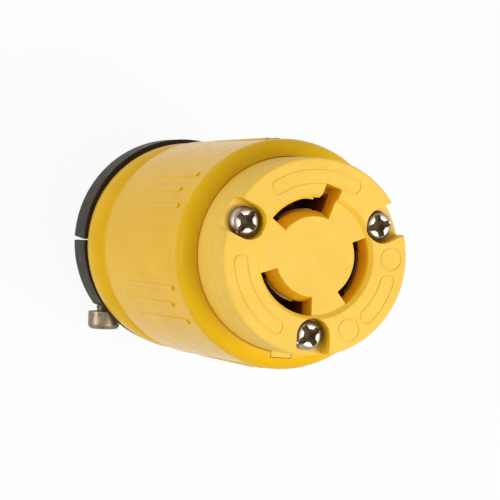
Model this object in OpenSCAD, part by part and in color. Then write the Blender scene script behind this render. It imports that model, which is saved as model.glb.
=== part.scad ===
/* [Insulator face] */
// Radius of the round mating face
face_r = 18.4; // [17:0.1:20]
// How far the insulator stands in front of the sleeve
face_proud = 13; // [9:0.1:13.5]
// Length of the slimmer front band of the insulator
face_band = 5.6; // [3:0.1:8]
// How much wider the insulator is behind that band
face_step = 0.1; // [0.05:0.05:0.5]
// Rounding of the front edge
face_round = 0.6; // [0.2:0.1:1.2]
// Full length of the front insulator
face_len = 16; // [15:0.1:20]
// Depth of the round recess in the face
recess_d = 1.1; // [0.5:0.1:2]
// How far the rim of the recess lies outside the slots
recess_flare = 0.7; // [0.2:0.05:1]
// How far the slots cut into the sloped wall of the recess
recess_lap = 0.1; // [0.05:0.05:0.3]
// Thickness of the front wall behind the recess
front_wall = 4.6; // [3.6:0.1:5]

/* [Blade slots] */
// Radius of the outer wall of the curved slots
slot_out_r = 10.95; // [10.6:0.05:11.1]
// Width of a slot at its throat
throat_w = 2.4; // [2.2:0.05:2.6]
// Angle that a slot covers
slot_span = 72; // [55:1:75]
// How much a slot narrows on its inner side
slot_lead = 1.1; // [0.6:0.05:1.3]
// How much the second line slot narrows
line_y_lead = 0.4; // [0.2:0.05:0.6]
// Depth over which the slots narrow
lead_depth = 3; // [2:0.1:3.4]
// Direction of the ground slot's middle
ground_a = 105; // [100:1:112]
// Direction of the first line slot's middle
line_x_a = 233.5; // [228:0.5:236]
// Direction of the second line slot's middle
line_y_a = 344; // [336:0.5:345]
// Width of the outward hook at the end of the ground slot
hook_w = 3.3; // [2:0.1:3.5]
// How far that hook reaches outside the slot
hook_reach = 2.4; // [1.5:0.1:2.8]

/* [Face screws] */
// Radius of the circle on which the face screws lie
face_screw_ring_r = 14.65; // [14:0.05:15]
// Angle between the upright and each upper screw
face_screw_spread = 65.5; // [60:0.5:75]
// Radius of the face screw's shank
face_screw_r = 1.75; // [1.4:0.05:2]
// Radius of the face screw's pan head
face_head_r = 2.8; // [2.6:0.05:3.1]
// Height of the pan head
face_head_h = 2.2; // [1.8:0.1:2.8]
// Rounding of the pan head
face_head_round = 1.1; // [0.6:0.1:1.4]
// How far the head lies below the face
face_head_sink = 1.7; // [0.4:0.1:2]
// Gap around the head in its open notch
head_gap = 0.5; // [0.1:0.05:0.6]
// Width of an arm of the cross recess
cross_w = 1.15; // [0.8:0.05:1.3]
// Radius that the cross recess reaches at the top of the head
cross_r = 2.3; // [1.5:0.1:2.5]
// Depth of the cross recess
cross_d = 1.5; // [1:0.1:1.7]
// Radius of the round middle of the cross recess
cross_core_r = 1.2; // [0.9:0.05:1.3]
// Depth of that middle
cross_core_d = 0.85; // [0.5:0.05:0.9]
// Width of the slot across the cross
cross_slot_w = 0.6; // [0.4:0.05:0.8]
// Depth of that slot
cross_slot_d = 0.7; // [0.4:0.05:1]
// Length of the brass insert
insert_len = 8; // [5:0.5:10]
// Wall of the brass insert
insert_wall = 0.75; // [0.5:0.05:1]
// Distance from the screw's tip to the insert's end
tip_short = 1; // [0.5:0.1:2]

/* [Bare label fields] */
// Half the width of the framed fields on the face
frame_half = 1.3; // [0.8:0.05:1.5]
// Radius of the two round fields
round_field_r = 2.05; // [1.5:0.05:2.2]
// Width of the line round a field
frame_line = 0.4; // [0.3:0.05:0.6]
// Depth of that line
frame_d = 0.15; // [0.1:0.01:0.3]

/* [Contacts and terminals] */
// Length of the contact carrier behind the insulator
carrier_len = 14; // [12.5:0.5:18]
// Width of a contact across its leaves
contact_w = 3.2; // [3:0.1:3.4]
// Thickness of the contact leaves
leaf_t = 0.7; // [0.5:0.05:0.8]
// Thickness of the steel backing springs
spring_t = 0.35; // [0.25:0.05:0.4]
// Room between a backing spring and its cavity
cavity_room = 0.1; // [0.05:0.05:0.2]
// Height at which the contact leaves start to close in
leaf_knee = 3.4; // [2.5:0.1:4]
// Distance from the leaf tips down to the pinch
leaf_flare = 2.1; // [1.5:0.1:2.5]
// Gap between the leaves where they pinch a blade
pinch_gap = 1.6; // [1.2:0.1:1.7]
// Angle that a contact covers
contact_span = 46; // [36:1:50]
// Thickness of the terminal tab
tab_t = 1.2; // [0.8:0.1:1.5]
// Width of the terminal tab
tab_w = 6; // [5:0.1:6.4]
// Distance from the carrier's rear to the clamp plate
plate_inset = 1.2; // [0.5:0.1:1.8]
// Thickness of the carrier's front wall over the terminals
carrier_roof = 2.5; // [1.5:0.1:3]
// Thickness of the wire clamp plate
plate_t = 1.2; // [0.8:0.1:1.6]
// Side of the wire clamp plate
plate_w = 7.2; // [6.4:0.1:8]
// Radius of the terminal screw's shank
term_screw_r = 1.75; // [1.4:0.05:1.9]
// Radius of the terminal screw's head
term_head_r = 3.1; // [2.6:0.1:3.4]
// Height of the terminal screw's head
term_head_h = 2.2; // [1.6:0.1:2.6]
// Rounding of that head
term_head_round = 0.6; // [0.3:0.1:1]
// Width of the slot in the slotted heads
head_slot_w = 0.9; // [0.6:0.05:1.2]
// Depth of that slot
head_slot_d = 1.1; // [0.7:0.1:1.3]
// How far the terminal screw passes its tab
term_tip = 2; // [1:0.1:3]
// Room on each side of the clamp plate in the carrier
chamber_room = 1; // [0.5:0.1:1.2]

/* [Sleeve] */
// Length of the sleeve
sleeve_len = 58.5; // [56:0.1:66]
// Wall of the sleeve at its front end
sleeve_wall = 3.35; // [3.2:0.05:4]
// How much the barrel narrows towards its rear
barrel_taper = 0.1; // [0:0.05:0.6]
// Rounding of the front shoulder
shoulder_round = 3.1; // [1.5:0.1:3.1]
// Thickness of the rear wall
rear_wall = 3; // [2:0.1:4]
// Distance from the sleeve's rear end to the crown of its rear collar
crown_at = 2.6; // [2:0.1:4]
// Rounding of the collar along the sleeve
crown_round = 10.5; // [8:0.1:12]
// How much the collar's crown lies below the barrel
collar_step = 0.25; // [0.1:0.05:0.6]
// Depth of the groove between collar and barrel
groove_d = 1.7; // [1:0.05:1.9]
// Distance from the sleeve's rear end to the barrel
groove_end = 13.6; // [11:0.1:14.5]
// Width of the key between insulator and sleeve
key_w = 4; // [3:0.1:5]
// Direction of the key
key_a = 267; // [260:1:280]
// How far the key reaches into the sleeve's rim
key_reach = 1.05; // [0.8:0.05:2]
// Radius of the screw bosses inside the sleeve
boss_r = 3.4; // [3.3:0.05:3.6]
// Length of the screw bosses
boss_len = 28; // [15:0.5:30]

/* [Grip ribs] */
// Number of rib groups round the sleeve
rib_groups = 6; // [4:1:8]
// Direction of the first rib group
rib_a = 88; // [80:1:100]
// Angle between the ribs of a group
rib_pitch = 9.3; // [7:0.1:12]
// Width of a rib
rib_w = 0.9; // [0.6:0.1:2]
// Height of a rib at its front end
rib_h = 0.3; // [0.2:0.05:0.6]
// Height of a rib at its rear end
rib_tail = 0.03; // [0.02:0.01:0.1]
// Distance from the sleeve's front to the outer ribs
rib_start = 6.4; // [5:0.1:12]
// How much further back the middle rib starts
rib_stagger = 3.4; // [0:0.1:6]
// Length of a rib
rib_len = 28; // [15:0.5:30]
// How deep a rib is rooted in the barrel
rib_root = 0.6; // [0.4:0.1:1]

/* [Cord clamp] */
// Length of the clamp behind the sleeve
ring_len = 8.2; // [8:0.1:11]
// How much the clamp stands out past the barrel
ring_over = 0; // [0:0.05:1]
// Rounding of the clamp's rear edge
ring_round = 1.8; // [1:0.1:3.4]
// Thickness of the full-round flange next to the sleeve
flange_t = 1.2; // [0.8:0.05:1.3]
// Gap between the two clamp halves at their rear
slit_w = 0.9; // [0.7:0.05:1.5]
// Gap between them from the flange on
flange_gap = 0.3; // [0.3:0.05:0.6]
// Height of that gap's middle above the axis
parting_y = 1; // [0:0.1:1.5]
// How much the upper half's round is set up from the axis
upper_rise = 0.5; // [0:0.1:1]
// How much the lower half's round is set up towards the upper half
lower_rise = 0.7; // [0:0.1:2]
// Radius of the cord passage
cord_r = 8.4; // [6:0.1:8.6]
// Height of the flat that the screw heads close on
lower_flat = 12.9; // [12:0.1:14]
// Wall of the neck that passes through the sleeve's rear wall
neck_wall = 3; // [2:0.1:3.4]
// How much the neck's flat sides cut into its round
neck_flat = 0.5; // [0.3:0.1:1]
// Thickness of the lip behind that wall
lip_t = 2; // [1.5:0.1:3]
// How far the lip reaches outside the port
lip_reach = 1.4; // [1:0.1:2]
// Distance of the clamp screws from the middle
clamp_screw_x = 15.5; // [14.8:0.1:15.8]
// Radius of the clamp screw's shank
clamp_screw_r = 1.5; // [1.2:0.05:1.6]
// Length of the clamp screw under its head
clamp_screw_len = 25; // [22.5:0.5:28]
// Radius of the clamp screw's head
clamp_head_r = 3.3; // [2.8:0.05:3.3]
// Height of the clamp screw's head
clamp_head_h = 3.75; // [2.5:0.05:4]
// Rounding of that head
clamp_head_round = 1.1; // [0.5:0.1:1.5]
// How far the clamp screws are backed off
clamp_slack = 1.4; // [0.5:0.05:2]
// Width of the clamp nut across its flats
nut_w = 5.5; // [5:0.1:5.8]
// Thickness of the clamp nut
nut_t = 2.4; // [1.8:0.1:3]
// How far the screw's tip passes its nut
tip_past_nut = 1.5; // [0.5:0.1:2.5]

/* [Fits] */
// Clearance between pieces that are screwed together
fit_gap = 0.1; // [0.08:0.01:0.2]
// Clearance of threads and pressed inserts
thread_gap = 0.05; // [0.03:0.01:0.08]
// Clearance round the clamp half that slides
slide_gap = 0.3; // [0.25:0.05:0.4]
// Room left at the sliding half's far end of travel
travel_room = 1.6; // [1.6:0.1:2.2]

/* [Hidden] */
$fn = 96;
over = 1;

// heights along the axis, from the clamp's rear face up to the mating face
sleeve_z = ring_len + slide_gap;
rim_z = sleeve_z + sleeve_len;
face_z = rim_z + face_proud;
carrier_top = face_z - face_len;
carrier_z = carrier_top - carrier_len;
recess_z = face_z - recess_d;
cavity_z = recess_z - front_wall;
tip_z = cavity_z - fit_gap;
pinch_z = tip_z - leaf_flare;
knee_z = carrier_top + leaf_knee;
head_seat_z = face_z - face_head_sink - face_head_h;
crown_z = sleeve_z + crown_at;
term_z = carrier_z + plate_inset + plate_w / 2;
clamp_screw_z = ring_len - flange_t - clamp_head_r - slide_gap;
clamp_len = ring_len + rear_wall + 2 * slide_gap + lip_t;

// radii from the middle outwards
throat_r = slot_out_r - throat_w;
contact_r = slot_out_r - throat_w / 2;
recess_r = slot_out_r + recess_flare;
field_r = (recess_r + face_r) / 2;
leaf_half = contact_w / 2;
spring_in = leaf_half + thread_gap;
spring_out = spring_in + spring_t;
cavity_half = spring_out + cavity_room;
tab_face = contact_r + leaf_half;
insulator_r = face_r + face_step;
bore_r = insulator_r + fit_gap;
barrel_r = bore_r + sleeve_wall;
barrel_rear_r = barrel_r - barrel_taper;
collar_r = barrel_rear_r - collar_step;
groove_r = barrel_rear_r - groove_d;
ring_r = barrel_r + ring_over;
neck_r = cord_r + neck_wall;
neck_half = neck_r - neck_flat;
port_r = neck_r + travel_room;
lip_r = port_r + lip_reach;
notch_r = face_head_r + head_gap;
insert_r = face_screw_r + thread_gap + insert_wall;
parting_low = parting_y - slit_w / 2;
parting_rear = parting_y + slit_w / 2;
clamp_tip_y = clamp_screw_len - lower_flat - clamp_slack;
nut_y = clamp_tip_y - nut_t - tip_past_nut;
nut_half = nut_w / 2 / cos(30);

face_screw_angles = [90 - face_screw_spread, 90 + face_screw_spread, 270];
// turn of the cross in each face screw
face_screw_turns = [15, 53, 35];
// direction and angle of the long bare fields, directions of the round ones
label_fields = [[92, 60], [212, 55], [329, 29]];
round_fields = [0, 297.5];
yellow = [0.90, 0.72, 0.22];
face_yellow = [0.96, 0.79, 0.34];
black = [0.24, 0.21, 0.20];
brass = [0.75, 0.60, 0.28];
nickel = [0.82, 0.80, 0.78];
steel = [0.62, 0.57, 0.52];
green = [0.15, 0.45, 0.25];
brown = [0.36, 0.22, 0.14];

// children moved out to a radius in a given direction, x pointing outwards
module polar(angle, radius = 0) {
    rotate([0, 0, angle])
        translate([radius, 0, 0])
            children();
}

// part of a ring between two radii, two heights and two directions
module ring_sector(r_in, r_out, z_low, z_high, middle, span) {
    rotate([0, 0, middle - span / 2])
        rotate_extrude(angle = span)
            translate([r_in, z_low])
                square([r_out - r_in, z_high - z_low]);
}

// what a rounding takes off the upper outer corner of a section
module corner_cut(radius, height, round) {
    difference() {
        translate([radius - round, height - round])
            square(round + over);
        translate([radius - round, height - round])
            circle(round);
    }
}

// bore along the axis at one of the face screws
module screw_holes(radius, z_low, z_high) {
    for (angle = face_screw_angles)
        polar(angle, face_screw_ring_r)
            translate([0, 0, z_low])
                cylinder(r = radius, h = z_high - z_low);
}

// half outline of the sleeve, from its axis outwards
module sleeve_section() {
    difference() {
        polygon([
            [0, sleeve_z],
            [barrel_rear_r, sleeve_z],
            [barrel_r, rim_z],
            [0, rim_z]
        ]);
        difference() {
            translate([groove_r, sleeve_z - over])
                square([groove_d + over, groove_end + over]);
            translate([collar_r - crown_round, crown_z])
                circle(crown_round);
        }
        corner_cut(barrel_r, rim_z, shoulder_round);
        translate([0, sleeve_z + rear_wall])
            square([bore_r, sleeve_len]);
    }
}

// one low rib that rises towards the front and ends in a square step
module grip_rib(front_z) {
    rotate([90, 0, 0])
        linear_extrude(height = rib_w, center = true)
            polygon([
                [barrel_rear_r - rib_root, front_z - rib_len],
                [barrel_r + rib_tail, front_z - rib_len],
                [barrel_r + rib_h, front_z],
                [barrel_rear_r - rib_root, front_z]
            ]);
}

module grip_ribs() {
    for (group = [0 : rib_groups - 1])
        for (k = [-1 : 1])
            polar(rib_a + group * 360 / rib_groups + k * rib_pitch)
                grip_rib(rim_z - rib_start - (k == 0 ? rib_stagger : 0));
}

// boss for one face screw, joined to the sleeve's wall
module screw_boss() {
    translate([0, 0, carrier_z - boss_len]) {
        cylinder(r = boss_r, h = boss_len);
        translate([0, -boss_r, 0])
            cube([bore_r + sleeve_wall / 3 - face_screw_ring_r, 2 * boss_r, boss_len]);
    }
}

// opening in the rear wall, with flat sides that guide the clamp halves
module cord_port() {
    translate([0, 0, sleeve_z - over])
        intersection() {
            cylinder(r = port_r, h = rear_wall + 2 * over);
            translate([-neck_half - slide_gap, -port_r, 0])
                cube([2 * (neck_half + slide_gap), 2 * port_r, rear_wall + 2 * over]);
        }
}

// block from inside the insulator out to the key's outer face
module key_block(clearance, top) {
    polar(key_a)
        translate([insulator_r - over, -key_w / 2 - clearance, carrier_top - clearance])
            cube([over + key_reach + clearance, key_w + 2 * clearance, top - carrier_top + clearance]);
}

module housing_sleeve() {
    color(yellow)
        difference() {
            union() {
                rotate_extrude()
                    sleeve_section();
                grip_ribs();
                for (angle = face_screw_angles)
                    polar(angle, face_screw_ring_r)
                        screw_boss();
            }
            cord_port();
            screw_holes(insert_r + thread_gap, carrier_z - insert_len, carrier_z + over);
            screw_holes(face_screw_r + fit_gap, carrier_z - boss_len + boss_r, carrier_z);
            key_block(fit_gap, rim_z + over);
        }
}

// half outline of the front insulator
module insulator_section() {
    difference() {
        polygon([
            [0, carrier_top],
            [insulator_r, carrier_top],
            [insulator_r, face_z - face_band - face_step],
            [face_r, face_z - face_band],
            [face_r, face_z],
            [recess_r, face_z],
            [slot_out_r - recess_lap, recess_z],
            [0, recess_z]
        ]);
        corner_cut(face_r, face_z, face_round);
    }
}

// section of a blade slot: sloped on its inner side down to a narrow throat
module slot_section(lead) {
    slope = lead / lead_depth;
    polygon([
        [throat_r - lead - (recess_d + over) * slope, face_z + over],
        [slot_out_r, face_z + over],
        [slot_out_r, cavity_z - over],
        [throat_r, cavity_z - over],
        [throat_r, recess_z - lead_depth]
    ]);
}

// curved slot for one blade, opening into its contact cavity
module blade_slot(middle, lead) {
    rotate([0, 0, middle - slot_span / 2])
        rotate_extrude(angle = slot_span)
            slot_section(lead);
    ring_sector(contact_r - cavity_half, contact_r + cavity_half,
        carrier_top - over, cavity_z, middle, slot_span);
}

// outward hook at the clockwise end of the ground slot
module ground_hook() {
    polar(ground_a - slot_span / 2)
        translate([contact_r, 0, cavity_z - over])
            cube([throat_w / 2 + hook_reach, hook_w, front_wall + recess_d + 2 * over]);
}

// notch that is open at the rim and holds one screw head
module head_notch() {
    translate([0, 0, head_seat_z]) {
        cylinder(r = notch_r, h = face_z - head_seat_z + over);
        translate([0, -notch_r, 0])
            cube([insulator_r, 2 * notch_r, face_z - head_seat_z + over]);
    }
}

// shallow line round a field, along a ring or part of one
module frame_groove(radius, middle = 0, span = 360) {
    ring_sector(radius - frame_line / 2, radius + frame_line / 2,
        face_z - frame_d, face_z + over, middle, span);
}

// closed line round a curved field with round ends
module label_frame(middle, span) {
    for (side = [-1, 1]) {
        frame_groove(field_r + side * frame_half, middle, span);
        polar(middle + side * span / 2, field_r)
            frame_groove(frame_half, side * 90, 180);
    }
}

module label_frames() {
    for (field = label_fields)
        label_frame(field[0], field[1]);
    for (angle = round_fields)
        polar(angle, field_r)
            frame_groove(round_field_r);
}

module front_face() {
    color(face_yellow)
        difference() {
            union() {
                rotate_extrude()
                    insulator_section();
                key_block(0, rim_z);
            }
            blade_slot(ground_a, slot_lead);
            blade_slot(line_x_a, slot_lead);
            blade_slot(line_y_a, line_y_lead);
            ground_hook();
            for (angle = face_screw_angles)
                polar(angle, face_screw_ring_r)
                    head_notch();
            screw_holes(face_screw_r + fit_gap, carrier_top - over, face_z);
            label_frames();
        }
}

// side and rear opening for one terminal, with its tab slot and screw hole
module terminal_chamber() {
    half = plate_w / 2 + chamber_room;
    roof = carrier_top - carrier_roof;
    translate([tab_face - fit_gap, -half, carrier_z - over])
        cube([bore_r, 2 * half, roof - carrier_z + over]);
    translate([tab_face - tab_t - fit_gap, -tab_w / 2 - fit_gap, carrier_z - over])
        cube([tab_t + 2 * fit_gap, tab_w + 2 * fit_gap, carrier_len + 2 * over]);
    translate([tab_face - tab_t - 2 * term_tip, 0, term_z])
        rotate([0, 90, 0])
            cylinder(r = term_screw_r + 2 * fit_gap, h = bore_r);
}

module contact_carrier() {
    color(brown)
        difference() {
            translate([0, 0, carrier_z])
                cylinder(r = insulator_r, h = carrier_len);
            for (angle = [ground_a, line_x_a, line_y_a])
                polar(angle)
                    terminal_chamber();
            screw_holes(face_screw_r + fit_gap, carrier_z - over, carrier_top + over);
        }
}

// section of the spring contact: two leaves that pinch in and flare out again
module contact_section() {
    low = carrier_top + spring_t;
    half = pinch_gap / 2;
    translate([contact_r, 0])
        polygon([
            [-leaf_half, low], [leaf_half, low],
            [leaf_half, knee_z], [half + leaf_t, pinch_z], [leaf_half, tip_z],
            [leaf_half - leaf_t, tip_z], [half, pinch_z], [leaf_half - leaf_t, knee_z],
            [leaf_half - leaf_t, low + leaf_t], [leaf_t - leaf_half, low + leaf_t],
            [leaf_t - leaf_half, knee_z], [-half, pinch_z], [leaf_t - leaf_half, tip_z],
            [-leaf_half, tip_z], [-half - leaf_t, pinch_z], [-leaf_half, knee_z]
        ]);
}

// one stamped contact: the curved grip and the flat terminal tab below it
module contact(angle) {
    color(brass)
        difference() {
            union() {
                rotate([0, 0, angle - contact_span / 2])
                    rotate_extrude(angle = contact_span)
                        contact_section();
                polar(angle, tab_face - tab_t)
                    translate([0, -tab_w / 2, carrier_z])
                        cube([tab_t, tab_w, carrier_len + spring_t + leaf_t]);
            }
            polar(angle, tab_face - tab_t - over)
                translate([0, 0, term_z])
                    rotate([0, 90, 0])
                        cylinder(r = term_screw_r + thread_gap, h = tab_t + 2 * over);
        }
}

module contact_line_x() {
    contact(line_x_a);
}

module contact_line_y() {
    contact(line_y_a);
}

module contact_ground() {
    contact(ground_a);
}

// section of the backing spring: a thin channel outside the leaves
module spring_section() {
    low = carrier_top;
    in = pinch_gap / 2 + leaf_t + thread_gap;
    translate([contact_r, 0])
        polygon([
            [-spring_out, low], [spring_out, low],
            [spring_out, knee_z], [in + spring_t, pinch_z], [in, pinch_z], [spring_in, knee_z],
            [spring_in, low + spring_t], [-spring_in, low + spring_t],
            [-spring_in, knee_z], [-in, pinch_z], [-in - spring_t, pinch_z], [-spring_out, knee_z]
        ]);
}

// one spring steel clip round a contact, with a window for its tab
module contact_spring(angle) {
    color(steel)
        difference() {
            rotate([0, 0, angle - contact_span / 2])
                rotate_extrude(angle = contact_span)
                    spring_section();
            polar(angle, tab_face - tab_t - fit_gap)
                translate([0, -tab_w / 2 - fit_gap, carrier_top - over])
                    cube([tab_t + contact_w, tab_w + 2 * fit_gap, over + spring_t + leaf_t + fit_gap]);
        }
}

module contact_spring_line_x() {
    contact_spring(line_x_a);
}

module contact_spring_line_y() {
    contact_spring(line_y_a);
}

module contact_spring_ground() {
    contact_spring(ground_a);
}

// square plate that presses the bare wire on the tab
module wire_clamp(angle) {
    color(brass)
        polar(angle, tab_face)
            difference() {
                translate([0, -plate_w / 2, term_z - plate_w / 2])
                    cube([plate_t, plate_w, plate_w]);
                translate([-over, 0, term_z])
                    rotate([0, 90, 0])
                        cylinder(r = term_screw_r + fit_gap, h = plate_t + 2 * over);
            }
}

module wire_clamp_line_x() {
    wire_clamp(line_x_a);
}

module wire_clamp_line_y() {
    wire_clamp(line_y_a);
}

module wire_clamp_ground() {
    wire_clamp(ground_a);
}

// slotted screw on the z axis, head upwards, its seat at zero
module slotted_screw(shank_r, shank_len, head_r, head_h, round) {
    difference() {
        union() {
            translate([0, 0, -shank_len])
                cylinder(r = shank_r, h = shank_len);
            rotate_extrude()
                difference() {
                    square([head_r, head_h]);
                    corner_cut(head_r, head_h, round);
                }
        }
        translate([-head_r - over, -head_slot_w / 2, head_h - head_slot_d])
            cube([2 * (head_r + over), head_slot_w, head_slot_d + over]);
    }
}

module terminal_screw(angle) {
    polar(angle, tab_face + plate_t)
        translate([0, 0, term_z])
            rotate([0, 90, 0])
                slotted_screw(term_screw_r, plate_t + tab_t + term_tip,
                    term_head_r, term_head_h, term_head_round);
}

module line_terminal_screws() {
    color(brass)
        for (angle = [line_x_a, line_y_a])
            terminal_screw(angle);
}

module ground_terminal_screw() {
    color(green)
        terminal_screw(ground_a);
}

// tapered cross recess with a round middle and a slot across it, cut down from the top of a head
module cross_recess() {
    intersection() {
        union()
            for (turn = [0, 90])
                rotate([0, 0, turn])
                    translate([-face_head_r, -cross_w / 2, -cross_d])
                        cube([2 * face_head_r, cross_w, cross_d + over]);
        translate([0, 0, -cross_d])
            cylinder(r1 = cross_w / 2, r2 = cross_r + (cross_r - cross_w / 2) * over / cross_d,
                h = cross_d + over);
    }
    translate([0, 0, -cross_core_d])
        cylinder(r = cross_core_r, h = cross_core_d + over);
    translate([-face_head_r - over, -cross_slot_w / 2, -cross_slot_d])
        cube([2 * (face_head_r + over), cross_slot_w, cross_slot_d + over]);
}

// pan head screw with a cross recess, its seat at zero
module pan_screw(turn) {
    shank_len = head_seat_z - carrier_z + insert_len - tip_short;
    difference() {
        union() {
            translate([0, 0, -shank_len])
                cylinder(r = face_screw_r, h = shank_len);
            rotate_extrude()
                difference() {
                    square([face_head_r, face_head_h]);
                    corner_cut(face_head_r, face_head_h, face_head_round);
                }
        }
        translate([0, 0, face_head_h])
            rotate([0, 0, turn])
                cross_recess();
    }
}

module face_screws() {
    color(nickel)
        for (i = [0 : 2])
            polar(face_screw_angles[i], face_screw_ring_r)
                translate([0, 0, head_seat_z])
                    rotate([0, 0, -face_screw_angles[i]])
                        pan_screw(face_screw_turns[i]);
}

module sleeve_inserts() {
    color(brass)
        difference() {
            screw_holes(insert_r, carrier_z - insert_len, carrier_z);
            screw_holes(face_screw_r + thread_gap, carrier_z - insert_len - over, carrier_z + over);
        }
}

// half outline of the clamp: rounded ring, neck and inner lip
module clamp_section() {
    difference() {
        square([ring_r, ring_len]);
        mirror([0, 1])
            corner_cut(ring_r, 0, ring_round);
    }
}

// neck through the sleeve's port and the lip that keeps it there
module clamp_neck() {
    neck_len = rear_wall + 2 * slide_gap;
    translate([0, 0, ring_len]) {
        intersection() {
            cylinder(r = neck_r, h = neck_len);
            translate([-neck_half, -neck_r, 0])
                cube([2 * neck_half, 2 * neck_r, neck_len]);
        }
        translate([0, 0, neck_len])
            cylinder(r = lip_r, h = lip_t);
    }
}

// what lies below the parting of a clamp half, from its rear up to its flange and lip
module parting_cut(rear_y, flange_y) {
    lean = (rear_y - flange_y) / (ring_len - flange_t);
    rotate([90, 0, 90])
        linear_extrude(height = 4 * ring_r, center = true)
            polygon([
                [-2 * ring_r, -over],
                [rear_y + lean * over, -over],
                [flange_y, ring_len - flange_t],
                [flange_y, clamp_len + over],
                [-2 * ring_r, clamp_len + over]
            ]);
}

// one half of the clamp on the +y side, its round set back by rise
module clamp_half(rear_y, flange_y, rise) {
    difference() {
        union() {
            translate([0, -rise, 0])
                rotate_extrude()
                    clamp_section();
            clamp_neck();
        }
        parting_cut(rear_y, flange_y);
        translate([0, 0, -over])
            cylinder(r = cord_r, h = clamp_len + 2 * over);
    }
}

// children repeated at both clamp screws
module at_clamp_screws() {
    for (side = [-1, 1])
        translate([side * clamp_screw_x, 0, clamp_screw_z])
            children();
}

module clamp_half_upper() {
    color(black)
        difference() {
            clamp_half(parting_rear, parting_low + flange_gap, -upper_rise);
            at_clamp_screws() {
                rotate([-90, 0, 0])
                    cylinder(r = clamp_screw_r + fit_gap, h = clamp_tip_y + over);
                translate([-nut_w / 2 - fit_gap, nut_y - fit_gap, -ring_len])
                    cube([nut_w + 2 * fit_gap, nut_t + 2 * fit_gap, ring_len + nut_half + fit_gap]);
            }
        }
}

module clamp_half_lower() {
    color(black)
        difference() {
            mirror([0, 1, 0])
                clamp_half(-parting_low, -parting_low, lower_rise);
            translate([-ring_r, -lower_flat - ring_r, -over])
                cube([2 * ring_r, ring_r, ring_len - flange_t + over]);
            at_clamp_screws()
                translate([0, parting_y, 0])
                    rotate([90, 0, 0])
                        cylinder(r = clamp_screw_r + slide_gap, h = parting_y + lower_flat + over);
        }
}

module clamp_screws() {
    color(steel)
        at_clamp_screws()
            translate([0, -lower_flat - clamp_slack, 0])
                rotate([90, 0, 0])
                    rotate([0, 0, 40])
                        slotted_screw(clamp_screw_r, clamp_screw_len,
                            clamp_head_r, clamp_head_h, clamp_head_round);
}

module clamp_nuts() {
    color(steel)
        at_clamp_screws()
            translate([0, nut_y, 0])
                rotate([-90, 0, 0])
                    difference() {
                        rotate([0, 0, 30])
                            cylinder(r = nut_half, h = nut_t, $fn = 6);
                        translate([0, 0, -over])
                            cylinder(r = clamp_screw_r + thread_gap, h = nut_t + 2 * over);
                    }
}

housing_sleeve();
front_face();
contact_carrier();
contact_line_x();
contact_line_y();
contact_ground();
contact_spring_line_x();
contact_spring_line_y();
contact_spring_ground();
wire_clamp_line_x();
wire_clamp_line_y();
wire_clamp_ground();
line_terminal_screws();
ground_terminal_screw();
face_screws();
sleeve_inserts();
clamp_half_upper();
clamp_half_lower();
clamp_screws();
clamp_nuts();
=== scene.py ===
import math

import bpy
from mathutils import Matrix, Vector


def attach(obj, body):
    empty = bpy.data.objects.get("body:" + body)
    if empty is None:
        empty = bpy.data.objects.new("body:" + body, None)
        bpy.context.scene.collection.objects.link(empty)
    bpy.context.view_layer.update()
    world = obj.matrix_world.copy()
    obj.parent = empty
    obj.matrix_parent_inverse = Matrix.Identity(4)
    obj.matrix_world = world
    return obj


# materials, soft edges, threads, camera and studio round the frame of the locking cord connector
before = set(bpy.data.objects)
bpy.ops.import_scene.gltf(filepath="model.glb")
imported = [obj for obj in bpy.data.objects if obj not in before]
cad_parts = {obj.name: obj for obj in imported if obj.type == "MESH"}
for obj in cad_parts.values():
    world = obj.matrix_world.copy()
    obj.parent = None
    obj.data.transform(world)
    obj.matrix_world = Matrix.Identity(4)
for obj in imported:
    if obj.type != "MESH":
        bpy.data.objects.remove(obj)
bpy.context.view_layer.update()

MM = 0.001

# camera at the photograph's viewing angle, on a square frame: places in metres, lens in millimetres
CAMERA_AT = (-0.18032, 0.00914, 0.50412)
CAMERA_TO = (0.00261, 0.00013, 0.04)
CAMERA_UP = (-0.02604, 0.99922, -0.02966)
LENS = 180.0
SENSOR = 36.0
CLIP_NEAR = 0.01
CLIP_FAR = 20.0

# studio: surroundings as a light, floor, and lamps by name, place, size and power
WHITE = (1.0, 1.0, 1.0, 1.0)
WORLD_LIGHT = 0.5
FLOOR_HALF = 1.5
FLOOR_COLOUR = (0.80, 0.80, 0.80, 1.0)
FLOOR_ROUGH = 0.9
FLOOR_WHITE = 0.93
LAMPS = (
    ("key_lamp", (0.28, -0.16, 0.68), 0.35, 3.35),
    ("left_lamp", (-0.70, 0.00, 0.10), 0.35, 2.0),
)
LAMP_AIM = (0.0, 0.0, 0.05)

# colours, linear: a pair is the dark and the light end of a cloudy tone
SLEEVE_YELLOW = ((0.78, 0.445, 0.008), (0.84, 0.495, 0.012))
# the face's yellow is paler than the sleeve's: painted sheen, which its walls lack
FACE_YELLOW = ((0.82, 0.520, 0.070), (0.88, 0.570, 0.088))
CLAMP_BLACK = ((0.032, 0.023, 0.015), (0.046, 0.035, 0.023))
CARRIER_BROWN = ((0.060, 0.028, 0.014), (0.090, 0.042, 0.020))
CONTACT_BRASS = ((0.20, 0.125, 0.040), (0.32, 0.21, 0.075))
SPRING_STEEL = ((0.42, 0.40, 0.38), (0.52, 0.50, 0.47))
SCREW_NICKEL = ((0.36, 0.31, 0.265), (0.48, 0.425, 0.37))
SCREW_STEEL = ((0.17, 0.127, 0.082), (0.31, 0.250, 0.182))
SCREW_GREEN = ((0.020, 0.150, 0.050), (0.035, 0.210, 0.080))
WORN_YELLOW = (0.88, 0.66, 0.18)
WORN_BLACK = (0.110, 0.098, 0.088)
WORN_BROWN = (0.160, 0.085, 0.045)
WORN_NICKEL = (0.76, 0.69, 0.62)
WORN_STEEL = (0.60, 0.53, 0.46)
WORN_BRASS = (0.62, 0.48, 0.25)
# painted shade laid into the corners and recesses of the metal parts, and of the contacts
RECESS_SHADE = ((0.060, 0.036, 0.011), (0.140, 0.095, 0.042))
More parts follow.
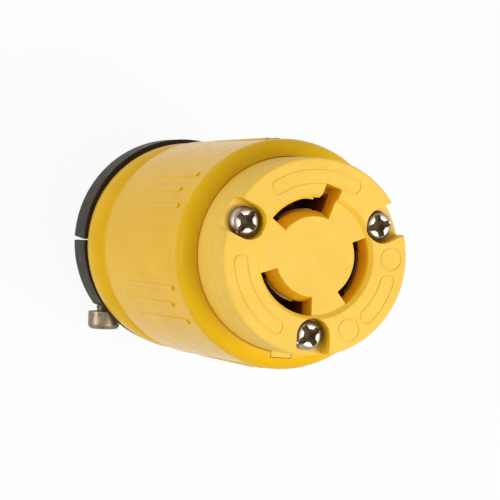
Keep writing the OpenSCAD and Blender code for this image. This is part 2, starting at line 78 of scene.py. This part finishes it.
CONTACT_SHADE = ((0.100, 0.030, 0.008), (0.160, 0.056, 0.016))
# painted shade on steep walls cut into the face
WALL_SHADE_YELLOW = (0.97, 0.585, 0.016)
# painted shade in the cavities behind the face's slots
CAVITY_SHADE = (0.340, 0.105, 0.020)

# noise: roughness of its detail, and features in a metre
NOISE_ROUGH = 0.55
PLASTIC_CLOUDS = 95.0
PLASTIC_GRAIN = 3200.0
PLASTIC_SHEEN = 420.0
METAL_CLOUDS = 700.0
METAL_PITS = 5200.0
# specks in the painted shade of metal corners
SHADE_SPECKS = 2600.0
LACQUER_CLOUDS = 500.0
WEAR_BREAKS = 900.0

# edge wear: reach and greatest share, cosine of an edge's turn where it is full and where it ends, and
# the part of it that is left where noise breaks it up
PLASTIC_WEAR = (0.25 * MM, 0.55)
METAL_WEAR = (0.2 * MM, 0.7)
WEAR_TURN = (0.80, 0.995)
WEAR_LEFT = 0.2

# finest relief, which only the shading has: edge radius, grain and pits
PLASTIC_ROUNDING = 0.15 * MM
METAL_ROUNDING = 0.12 * MM
ROUNDING_SAMPLES = 6
GRAIN_DEPTH = 0.04 * MM
PIT_DEPTH = 0.02 * MM
PIT_STRENGTH = 0.12

# painted shade in corners: reach, openness where it is full and where it ends, finish
SHADE_REACH = 3.0 * MM
SHADE_OPENNESS = (0.40, 0.60)
SHADE_SAMPLES = 8
SHADE_ROUGH = 0.85
SHADE_METALLIC = 0.2

# dyed lacquer on the ground screw
LACQUER_ROUGH = (0.25, 0.4)
LACQUER_METALLIC = 0.7

# painted shade on walls cut into the face: radius that they lie inside, rise of the normal where they
# count fully and not
WALLS_RADIUS = 18.2 * MM
WALLS_RISE = (0.40, 0.75)

# painted shade in the contact cavities, which begin at this height and end inside this radius
CAVITY_TOP = 74.35 * MM
CAVITY_RADIUS = 12.4 * MM

# width over which a colour changes at the border of a hollow
FADE = 0.1 * MM

# joining of a node's triangles
WELD_REACH = 0.0005 * MM
FLAT_ANGLE = math.radians(0.6)

# walls without thickness across the lines on the face: faces at a sound edge, and an area above theirs
EDGE_FACES = 2.0
THIN_WALL_AREA = 0.1 * MM * MM

# rounding of sharp edges and weight of large faces in the shading
SHARP_ANGLE = math.radians(35)
EDGE_SEGMENTS = 3
FACE_WEIGHT = 100

# finish of each node and width of its edge rounding in millimetres
POLES = ("line_x", "line_y", "ground")
LOOKS = {
    "housing_sleeve": ("sleeve", 0.06),
    "front_face": ("face", 0.06),
    "contact_carrier": ("brown", 0.1),
    "face_screws": ("nickel", 0.03),
    "sleeve_inserts": ("brass", 0.0),
    "line_terminal_screws": ("brass", 0.06),
    "ground_terminal_screw": ("green", 0.06),
    "clamp_half_upper": ("black", 0.2),
    "clamp_half_lower": ("black", 0.2),
    "clamp_screws": ("steel", 0.1),
    "clamp_nuts": ("steel", 0.06),
}
for pole in POLES:
    LOOKS["contact_" + pole] = ("brass", 0.05)
    LOOKS["contact_spring_" + pole] = ("spring", 0.0)
    LOOKS["wire_clamp_" + pole] = ("brass", 0.06)

# face screws: directions and radius of their axes, height under their heads' tops, reach of the recess
FACE_SCREW_ANGLES = (24.5, 155.5, 270.0)
FACE_SCREW_RING = 14.65 * MM
RECESS_BELOW = 78.16 * MM
RECESS_REACH = 2.3 * MM

# thread of the clamp screws: axes, stretch under the heads, pitch, section and steps round a turn
THREAD_AXES = (("clamp_thread_left", -15.5 * MM), ("clamp_thread_right", 15.5 * MM))
THREAD_HEIGHT = 3.4 * MM
THREAD_FROM = -14.20 * MM
THREAD_TO = -9.20 * MM
THREAD_PITCH = 0.5 * MM
THREAD_ROOT = 1.46 * MM
THREAD_CREST = 1.67 * MM
THREAD_ROOT_HALF = 0.19 * MM
THREAD_CREST_HALF = 0.04 * MM
THREAD_STEPS = 28


def add_node(tree, kind, **values):
    """A new shader node with the given input values."""
    made = tree.nodes.new(kind)
    for name, value in values.items():
        made.inputs[name].default_value = value
    return made


def noise(tree, coords, scale, detail=4.0):
    """Noise texture in the object's own metres; the feature size is one part in scale."""
    made = add_node(tree, "ShaderNodeTexNoise", Scale=scale, Detail=detail, Roughness=NOISE_ROUGH)
    tree.links.new(coords, made.inputs["Vector"])
    return made.outputs["Fac"]


def spread(tree, fac, low, high, from_low=0.3, from_high=0.7):
    """Values from low to high as fac goes from from_low to from_high."""
    made = tree.nodes.new("ShaderNodeMapRange")
    made.inputs["From Min"].default_value = from_low
    made.inputs["From Max"].default_value = from_high
    made.inputs["To Min"].default_value = low
    made.inputs["To Max"].default_value = high
    tree.links.new(fac, made.inputs["Value"])
    return made.outputs["Result"]


def blend_colours(tree, fac, dark, light):
    """Colour between dark and light, each a tuple or a socket."""
    made = tree.nodes.new("ShaderNodeMix")
    made.data_type = "RGBA"
    for name, value in (("A", dark), ("B", light)):
        socket = [s for s in made.inputs if s.name == name and s.type == "RGBA"][0]
        if isinstance(value, tuple):
            socket.default_value = (*value, 1.0)
        else:
            tree.links.new(value, socket)
    tree.links.new(fac, made.inputs["Factor"])
    return [s for s in made.outputs if s.type == "RGBA"][0]


def math_node(tree, operation, first, second):
    """Two values joined by a math operation."""
    made = tree.nodes.new("ShaderNodeMath")
    made.operation = operation
    tree.links.new(first, made.inputs[0])
    tree.links.new(second, made.inputs[1])
    return made.outputs[0]


def product(tree, first, second):
    """One value times another."""
    return math_node(tree, "MULTIPLY", first, second)


def bump(tree, height, strength, depth, normal):
    """Normal turned by a height texture, depth in metres."""
    made = add_node(tree, "ShaderNodeBump", Strength=strength, Distance=depth)
    tree.links.new(height, made.inputs["Height"])
    tree.links.new(normal, made.inputs["Normal"])
    return made.outputs["Normal"]


def rounded_edges(tree, radius):
    """Normal that rounds sharp edges by a small radius."""
    made = add_node(tree, "ShaderNodeBevel", Radius=radius)
    made.samples = ROUNDING_SAMPLES
    return made.outputs["Normal"]


def edge_wear(tree, coords, radius, amount):
    """Up to amount along sharp edges, broken up by noise, zero elsewhere."""
    soft = rounded_edges(tree, radius)
    sharp = tree.nodes.new("ShaderNodeNewGeometry").outputs["Normal"]
    turn = tree.nodes.new("ShaderNodeVectorMath")
    turn.operation = "DOT_PRODUCT"
    tree.links.new(soft, turn.inputs[0])
    tree.links.new(sharp, turn.inputs[1])
    edge = spread(tree, turn.outputs["Value"], amount, 0.0, *WEAR_TURN)
    breaks = noise(tree, coords, WEAR_BREAKS)
    return product(tree, edge, spread(tree, breaks, WEAR_LEFT, 1.0))


def from_axis(tree, coords, axis):
    """Distance from an axis along z through the point (x, y)."""
    flat = tree.nodes.new("ShaderNodeVectorMath")
    flat.operation = "MULTIPLY"
    flat.inputs[1].default_value = (1.0, 1.0, 0.0)
    reach = tree.nodes.new("ShaderNodeVectorMath")
    reach.operation = "DISTANCE"
    reach.inputs[1].default_value = (*axis, 0.0)
    tree.links.new(coords, flat.inputs[0])
    tree.links.new(flat.outputs[0], reach.inputs[0])
    return reach.outputs["Value"]


def inside_well(tree, coords, distance, top, radius):
    """One below top and nearer than radius, zero elsewhere."""
    height = tree.nodes.new("ShaderNodeSeparateXYZ")
    tree.links.new(coords, height.inputs[0])
    low = spread(tree, height.outputs["Z"], 1.0, 0.0, top - FADE / 2, top + FADE / 2)
    near = spread(tree, distance, 1.0, 0.0, radius, radius + FADE)
    return product(tree, low, near)


def steep_walls(tree):
    """One on walls that stand along z, less on slopes and zero on flats that look along z."""
    normal = tree.nodes.new("ShaderNodeTexCoord").outputs["Normal"]
    parts = tree.nodes.new("ShaderNodeSeparateXYZ")
    tree.links.new(normal, parts.inputs[0])
    return spread(tree, parts.outputs["Z"], 1.0, 0.0, *WALLS_RISE)


def paint_hollow_shade(tree, coords, colour):
    """Painted shade: a deeper yellow on walls cut into the face, against its paler front, and a darker
    colour in the cavities behind its slots.
    """
    distance = from_axis(tree, coords, (0.0, 0.0))
    inner = spread(tree, distance, 1.0, 0.0, WALLS_RADIUS, WALLS_RADIUS + FADE)
    colour = blend_colours(tree, product(tree, steep_walls(tree), inner), colour, WALL_SHADE_YELLOW)
    cavities = inside_well(tree, coords, distance, CAVITY_TOP, CAVITY_RADIUS)
    return blend_colours(tree, cavities, colour, CAVITY_SHADE)


def inside_recesses(tree, coords):
    """One in the cross recesses of the face screws, zero elsewhere."""
    nearest = None
    for angle in FACE_SCREW_ANGLES:
        turn = math.radians(angle)
        axis = (FACE_SCREW_RING * math.cos(turn), FACE_SCREW_RING * math.sin(turn))
        distance = from_axis(tree, coords, axis)
        nearest = distance if nearest is None else math_node(tree, "MINIMUM", nearest, distance)
    return inside_well(tree, coords, nearest, RECESS_BELOW, RECESS_REACH)


def new_material(name):
    """Material with its tree, principled shader and object coordinates."""
    material = bpy.data.materials.new(name)
    material.use_nodes = True
    tree = material.node_tree
    shader = tree.nodes["Principled BSDF"]
    coords = tree.nodes.new("ShaderNodeTexCoord").outputs["Object"]
    return material, tree, shader, coords


def moulded_plastic(name, colours, worn, rough, specular, grain=0.10, hollows=False):
    """Moulded nylon: cloudy colour, fine grain, rubbed edges and a gloss that varies a little."""
    material, tree, shader, coords = new_material(name)
    clouds = noise(tree, coords, PLASTIC_CLOUDS, detail=5.0)
    fine = noise(tree, coords, PLASTIC_GRAIN, detail=2.0)
    sheen = noise(tree, coords, PLASTIC_SHEEN, detail=3.0)
    colour = blend_colours(tree, spread(tree, clouds, 0.0, 1.0), *colours)
    colour = blend_colours(tree, edge_wear(tree, coords, *PLASTIC_WEAR), colour, worn)
    if hollows:
        colour = paint_hollow_shade(tree, coords, colour)
    tree.links.new(colour, shader.inputs["Base Color"])
    tree.links.new(spread(tree, sheen, *rough), shader.inputs["Roughness"])
    shader.inputs["Specular IOR Level"].default_value = specular
    normal = bump(tree, fine, grain, GRAIN_DEPTH, rounded_edges(tree, PLASTIC_ROUNDING))
    tree.links.new(normal, shader.inputs["Normal"])
    return material


def unshaded_places(tree):
    """Zero in narrow corners, where painted shade goes, and one in the open."""
    corner = add_node(tree, "ShaderNodeAmbientOcclusion", Distance=SHADE_REACH)
    corner.samples = SHADE_SAMPLES
    return spread(tree, corner.outputs["AO"], 0.0, 1.0, *SHADE_OPENNESS)


def plated_metal(name, colours, worn, rough, painted_shade=RECESS_SHADE, recesses=False):
    """Plated or bare metal: uneven tone, small pits, bright edges, and painted shade in its corners and
    recesses.
    """
    material, tree, shader, coords = new_material(name)
    clouds = noise(tree, coords, METAL_CLOUDS)
    pits = noise(tree, coords, METAL_PITS, detail=2.0)
    specks = noise(tree, coords, SHADE_SPECKS, detail=3.0)
    colour = blend_colours(tree, spread(tree, clouds, 0.0, 1.0), *colours)
    colour = blend_colours(tree, edge_wear(tree, coords, *METAL_WEAR), colour, worn)
    # painted shade, specked, laid into narrow corners and made matte there
    painted_shade = blend_colours(tree, spread(tree, specks, 0.0, 1.0), *painted_shade)
    unshaded = unshaded_places(tree)
    colour = blend_colours(tree, unshaded, painted_shade, colour)
    # painted shade filling the face screws' cross recesses, made matte there
    if recesses:
        recess_shade = inside_recesses(tree, coords)
        colour = blend_colours(tree, recess_shade, colour, painted_shade)
        unshaded = math_node(tree, "SUBTRACT", unshaded, recess_shade)
    tree.links.new(colour, shader.inputs["Base Color"])
    tree.links.new(spread(tree, unshaded, SHADE_METALLIC, 1.0, 0.0, 1.0), shader.inputs["Metallic"])
    matte = spread(tree, unshaded, SHADE_ROUGH, 0.0, 0.0, 1.0)
    roughness = math_node(tree, "MAXIMUM", spread(tree, clouds, *rough), matte)
    tree.links.new(roughness, shader.inputs["Roughness"])
    normal = bump(tree, pits, PIT_STRENGTH, PIT_DEPTH, rounded_edges(tree, METAL_ROUNDING))
    tree.links.new(normal, shader.inputs["Normal"])
    return material


def painted_metal(name, colours):
    """Screw under a thin dyed lacquer."""
    material, tree, shader, coords = new_material(name)
    clouds = noise(tree, coords, LACQUER_CLOUDS)
    colour = blend_colours(tree, spread(tree, clouds, 0.0, 1.0), *colours)
    tree.links.new(colour, shader.inputs["Base Color"])
    shader.inputs["Metallic"].default_value = LACQUER_METALLIC
    tree.links.new(spread(tree, clouds, *LACQUER_ROUGH), shader.inputs["Roughness"])
    tree.links.new(rounded_edges(tree, METAL_ROUNDING), shader.inputs["Normal"])
    return material


def geometry_group(name):
    """Geometry nodes with nothing yet between their input and output."""
    group = bpy.data.node_groups.new(name, "GeometryNodeTree")
    for way in ("INPUT", "OUTPUT"):
        group.interface.new_socket("Geometry", in_out=way, socket_type="NodeSocketGeometry")
    return group, group.nodes.new("NodeGroupInput"), group.nodes.new("NodeGroupOutput")


def compare(group, operation, value, limit):
    """Whether a value is less or greater than a limit."""
    made = group.nodes.new("FunctionNodeCompare")
    made.operation = operation
    made.inputs["B"].default_value = limit
    group.links.new(value, made.inputs["A"])
    return made.outputs["Result"]


def thin_wall_group():
    """Geometry nodes that drop small walls without thickness: once welded, they have a free edge."""
    group, begin, end = geometry_group("drop_thin_walls")
    sides = group.nodes.new("GeometryNodeInputMeshEdgeNeighbors")
    area = group.nodes.new("GeometryNodeInputMeshFaceArea")
    share = group.nodes.new("GeometryNodeFieldOnDomain")
    share.domain = "EDGE"
    both = group.nodes.new("FunctionNodeBooleanMath")
    drop = group.nodes.new("GeometryNodeDeleteGeometry")
    drop.domain = "FACE"
    free = compare(group, "LESS_THAN", sides.outputs["Face Count"], EDGE_FACES)
    group.links.new(free, share.inputs["Value"])
    some = compare(group, "GREATER_THAN", share.outputs["Value"], 0.0)
    small = compare(group, "LESS_THAN", area.outputs["Area"], THIN_WALL_AREA)
    group.links.new(some, both.inputs[0])
    group.links.new(small, both.inputs[1])
    group.links.new(both.outputs["Boolean"], drop.inputs["Selection"])
    group.links.new(begin.outputs["Geometry"], drop.inputs["Geometry"])
    group.links.new(drop.outputs["Geometry"], end.inputs["Geometry"])
    return group


def smooth_group():
    """Geometry nodes that shade smooth and keep edges above the sharp angle."""
    group, begin, end = geometry_group("smooth_by_angle")
    smooth = group.nodes.new("GeometryNodeSetShadeSmooth")
    sharp = group.nodes.new("GeometryNodeSetShadeSmooth")
    sharp.domain = "EDGE"
    sharp.inputs["Shade Smooth"].default_value = False
    angle = group.nodes.new("GeometryNodeInputMeshEdgeAngle")
    above = compare(group, "GREATER_THAN", angle.outputs["Unsigned Angle"], SHARP_ANGLE)
    group.links.new(begin.outputs["Geometry"], smooth.inputs["Geometry"])
    group.links.new(smooth.outputs["Geometry"], sharp.inputs["Geometry"])
    group.links.new(above, sharp.inputs["Selection"])
    group.links.new(sharp.outputs["Geometry"], end.inputs["Geometry"])
    return group


def soften(obj, width):
    """Joins a node's triangles into faces, drops thin walls, rounds sharp edges and shades smooth."""
    weld = obj.modifiers.new("weld", "WELD")
    weld.merge_threshold = WELD_REACH
    flat = obj.modifiers.new("flat", "DECIMATE")
    flat.decimate_type = "DISSOLVE"
    flat.angle_limit = FLAT_ANGLE
    solid = obj.modifiers.new("solid", "NODES")
    solid.node_group = NO_THIN_WALLS
    if width > 0:
        edge = obj.modifiers.new("edge", "BEVEL")
        edge.width = width
        edge.segments = EDGE_SEGMENTS
        edge.limit_method = "ANGLE"
        edge.angle_limit = SHARP_ANGLE
        edge.use_clamp_overlap = False
    shade = obj.modifiers.new("shade", "NODES")
    shade.node_group = SMOOTH
    even = obj.modifiers.new("even", "WEIGHTED_NORMAL")
    even.mode = "FACE_AREA"
    even.weight = FACE_WEIGHT
    even.keep_sharp = True


def dress(node, material, width):
    """Gives a CAD node its material and soft edges."""
    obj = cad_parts[node]
    obj.data.materials.clear()
    obj.data.materials.append(material)
    soften(obj, width)


def place_camera():
    """Camera of the photograph."""
    data = bpy.data.cameras.new("camera")
    data.lens = LENS
    data.sensor_width = SENSOR
    data.clip_start = CLIP_NEAR
    data.clip_end = CLIP_FAR
    camera = bpy.data.objects.new("camera", data)
    bpy.context.scene.collection.objects.link(camera)
    at = Vector(CAMERA_AT)
    ahead = (Vector(CAMERA_TO) - at).normalized()
    right = ahead.cross(Vector(CAMERA_UP)).normalized()
    up = right.cross(ahead)
    turn = Matrix((right, up, -ahead)).transposed().to_4x4()
    camera.matrix_world = Matrix.Translation(at) @ turn
    bpy.context.scene.camera = camera


def seen_rays(tree):
    """One for camera, glossy and transmission rays, zero for the others."""
    path = tree.nodes.new("ShaderNodeLightPath")
    total = path.outputs["Is Camera Ray"]
    for name in ("Is Glossy Ray", "Is Transmission Ray"):
        total = math_node(tree, "MAXIMUM", total, path.outputs[name])
    return total


def light_world():
    """Surroundings that look white and light less than they look."""
    world = bpy.data.worlds.new("studio")
    bpy.context.scene.world = world
    world.use_nodes = True
    tree = world.node_tree
    background = tree.nodes["Background"]
    background.inputs["Color"].default_value = WHITE
    strength = spread(tree, seen_rays(tree), WORLD_LIGHT, 1.0, 0.0, 1.0)
    tree.links.new(strength, background.inputs["Strength"])


def lay_floor():
    """Pale floor that looks white and keeps a faint shadow."""
    mesh = bpy.data.meshes.new("floor")
    corners = [(x * FLOOR_HALF, y * FLOOR_HALF, 0.0) for x, y in ((-1, -1), (1, -1), (1, 1), (-1, 1))]
    mesh.from_pydata(corners, [], [(0, 1, 2, 3)])
    floor = bpy.data.objects.new("floor", mesh)
    bpy.context.scene.collection.objects.link(floor)
    material, tree, shader, _ = new_material("floor")
    shader.inputs["Base Color"].default_value = FLOOR_COLOUR
    shader.inputs["Roughness"].default_value = FLOOR_ROUGH
    white = tree.nodes.new("ShaderNodeEmission")
    white.inputs["Color"].default_value = WHITE
    mix = tree.nodes.new("ShaderNodeMixShader")
    tree.links.new(spread(tree, seen_rays(tree), 0.0, FLOOR_WHITE, 0.0, 1.0), mix.inputs[0])
    tree.links.new(shader.outputs[0], mix.inputs[1])
    tree.links.new(white.outputs[0], mix.inputs[2])
    tree.links.new(mix.outputs[0], tree.nodes["Material Output"].inputs["Surface"])
    mesh.materials.append(material)


def hang_lamps():
    """Soft square lamps, all aimed at the object."""
    for name, at, size, power in LAMPS:
        data = bpy.data.lights.new(name, "AREA")
        data.size = size
        data.energy = power
        lamp = bpy.data.objects.new(name, data)
        bpy.context.scene.collection.objects.link(lamp)
        lamp.location = at
        lamp.rotation_euler = (Vector(LAMP_AIM) - Vector(at)).to_track_quat("-Z", "Y").to_euler()


def thread_section(grown):
    """Radius and shift along the axis of the ridge's corners, for a height from nothing to full."""
    crest = THREAD_ROOT + (THREAD_CREST - THREAD_ROOT) * grown
    return (
        (THREAD_ROOT, -THREAD_ROOT_HALF),
        (crest, -THREAD_CREST_HALF),
        (crest, THREAD_CREST_HALF),
        (THREAD_ROOT, THREAD_ROOT_HALF),
    )


def thread_mesh(name, x):
    """Ridge that winds round a clamp screw's shank and runs out at both ends."""
    steps = round((THREAD_TO - THREAD_FROM) / THREAD_PITCH * THREAD_STEPS)
    points = []
    for i in range(steps + 1):
        turn = math.tau * i / THREAD_STEPS
        along = THREAD_FROM + THREAD_PITCH * i / THREAD_STEPS
        section = thread_section(min(1.0, i / THREAD_STEPS, (steps - i) / THREAD_STEPS))
        for radius, shift in section:
            height = THREAD_HEIGHT + radius * math.sin(turn)
            points.append((x + radius * math.cos(turn), along + shift, height))
    width = len(section)
    faces = []
    for i in range(steps):
        for j in range(width):
            here = width * i + j
            beside = width * i + (j + 1) % width
            faces.append((here, here + width, beside + width, beside))
    faces.append(tuple(range(width)))
    faces.append(tuple(range(width * steps + width - 1, width * steps - 1, -1)))
    mesh = bpy.data.meshes.new(name)
    mesh.from_pydata(points, [], faces)
    return mesh


def cut_threads(material):
    """Threads of the clamp screws, seen between their heads and the lower clamp half."""
    for name, x in THREAD_AXES:
        mesh = thread_mesh(name, x)
        mesh.materials.append(material)
        thread = bpy.data.objects.new(name, mesh)
        bpy.context.scene.collection.objects.link(thread)
        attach(thread, "connector")


def make_finishes():
    """Material of each finish that the nodes have."""
    return {
        "sleeve": moulded_plastic(
            "sleeve_yellow", SLEEVE_YELLOW, WORN_YELLOW, rough=(0.16, 0.28), specular=0.05
        ),
        "face": moulded_plastic(
            "face_yellow", FACE_YELLOW, WORN_YELLOW, rough=(0.42, 0.56), specular=0.14, hollows=True
        ),
        "black": moulded_plastic(
            "clamp_black", CLAMP_BLACK, WORN_BLACK, rough=(0.34, 0.50), specular=0.05, grain=0.2
        ),
        "brown": moulded_plastic(
            "carrier_brown", CARRIER_BROWN, WORN_BROWN, rough=(0.35, 0.50), specular=0.3
        ),
        "brass": plated_metal(
            "contact_brass", CONTACT_BRASS, WORN_BRASS, rough=(0.25, 0.4), painted_shade=CONTACT_SHADE
        ),
        "spring": plated_metal("spring_steel", SPRING_STEEL, WORN_NICKEL, rough=(0.18, 0.34)),
        "nickel": plated_metal(
            "screw_nickel", SCREW_NICKEL, WORN_NICKEL, rough=(0.38, 0.52), recesses=True
        ),
        "steel": plated_metal("screw_steel", SCREW_STEEL, WORN_STEEL, rough=(0.3, 0.45)),
        "green": painted_metal("screw_green", SCREW_GREEN),
    }


def dress_part():
    """Material and edge rounding of every CAD node, and the clamp screws' threads."""
    finishes = make_finishes()
    for node, (finish, width) in LOOKS.items():
        dress(node, finishes[finish], width * MM)
    cut_threads(finishes["steel"])


NO_THIN_WALLS = thin_wall_group()
SMOOTH = smooth_group()
bpy.context.scene.view_settings.view_transform = "Standard"
place_camera()
light_world()
lay_floor()
hang_lamps()
dress_part()
